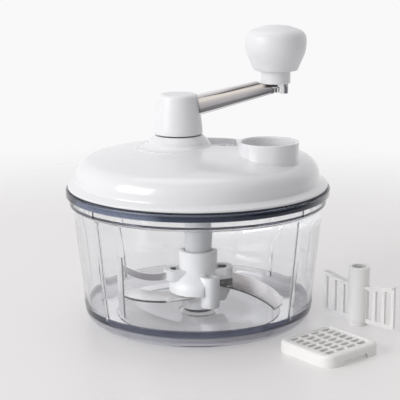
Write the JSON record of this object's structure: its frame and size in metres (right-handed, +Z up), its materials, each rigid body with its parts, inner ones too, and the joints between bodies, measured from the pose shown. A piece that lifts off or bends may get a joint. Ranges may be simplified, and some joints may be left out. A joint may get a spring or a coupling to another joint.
{
  "type": "hand cranked food chopper",
  "caption": "Clear round bowl with a white domed lid, a steel crank arm with a round knob, and geared chopping blades inside; a mixing paddle and a grid insert beside it.",
  "frame": {"origin": "centre of the bowl's underside, on the table", "axes": "+Z up along the bowl's axis and the drive shaft; +X towards the knob at rest; +Y away from the viewer"},
  "size_m": [0.2329, 0.2092, 0.2113],
  "materials": {
    "clear_bowl": "clear moulded plastic with a blue-grey tint in its thick edges",
    "white_shell": "smooth gloss white",
    "white_grip": "smooth semi-gloss white",
    "white_hub": "smooth semi-gloss white",
    "white_accessory": "smooth semi-gloss white",
    "grey_shaft": "smooth light grey",
    "dark_seal": "matt dark blue-grey rubber",
    "rubber_feet": "translucent grey rubber",
    "bush_plastic": "matt natural bearing plastic",
    "gear_plastic": "matt natural white",
    "steel": "turned stainless steel",
    "arm_steel": "polished stainless steel",
    "blade_steel": "satin stainless steel"
  },
  "bodies": {
    "bowl_base": {"bowl": "clear_bowl", "foot_pads": "rubber_feet", "blade_pin": "steel", "pin_washer": "dark_seal"},
    "lid": {"lid_shell": "white_shell", "lid_gasket": "dark_seal", "gear_cover": "white_shell", "cover_screws": "steel", "spindle_bush": "bush_plastic", "shaft_bush": "bush_plastic"},
    "crank": {"crank_spindle": "steel", "ring_gear": "gear_plastic", "crank_cap": "white_shell", "cap_plug": "white_shell", "crank_arm": "arm_steel", "arm_screw": "steel", "knob_pin": "steel", "pin_clip": "steel"},
    "knob": {"knob_grip": "white_grip", "knob_collar": "white_grip"},
    "drive": {"drive_shaft": "grey_shaft", "pinion": "gear_plastic", "pinion_screw": "steel"},
    "blades": {"blade_hub": "white_hub", "side_blade": "blade_steel", "low_blade": "blade_steel", "scraper_arm": "blade_steel", "scraper": "blade_steel"},
    "paddle": {"mixing_paddle": "white_accessory"},
    "grid": {"grid_insert": "white_accessory"}
  },
  "joints": [
    {"name": "lid_lift", "type": "slide", "parent": "bowl_base", "child": "lid", "axis": [0, 0, 1], "range_m": [0, 0.12]},
    {"name": "crank_spin", "type": "hinge", "parent": "lid", "child": "crank", "pos_m": [-0.0135, 0, 0.14], "axis": [0, 0, 1], "continuous": true},
    {"name": "knob_spin", "type": "hinge", "parent": "crank", "child": "knob", "pos_m": [0.0555, 0, 0.18], "axis": [0, 0, 1], "continuous": true},
    {"name": "drive_spin", "type": "hinge", "parent": "lid", "child": "drive", "pos_m": [0, 0, 0.1], "axis": [0, 0, 1], "continuous": true},
    {"name": "blade_spin", "type": "hinge", "parent": "bowl_base", "child": "blades", "pos_m": [0, 0, 0.02], "axis": [0, 0, 1], "continuous": true},
    {"name": "paddle_lift", "type": "slide", "parent": "bowl_base", "child": "paddle", "axis": [0.5, 0, 0.866], "range_m": [0, 0.15]},
    {"name": "grid_lift", "type": "slide", "parent": "bowl_base", "child": "grid", "axis": [0, 0, 1], "range_m": [0, 0.15]}
  ],
  "couplings": [
    {"joint": "drive_spin", "follows": "crank_spin", "ratio": 2},
    {"joint": "blade_spin", "follows": "crank_spin", "ratio": 2}
  ]
}
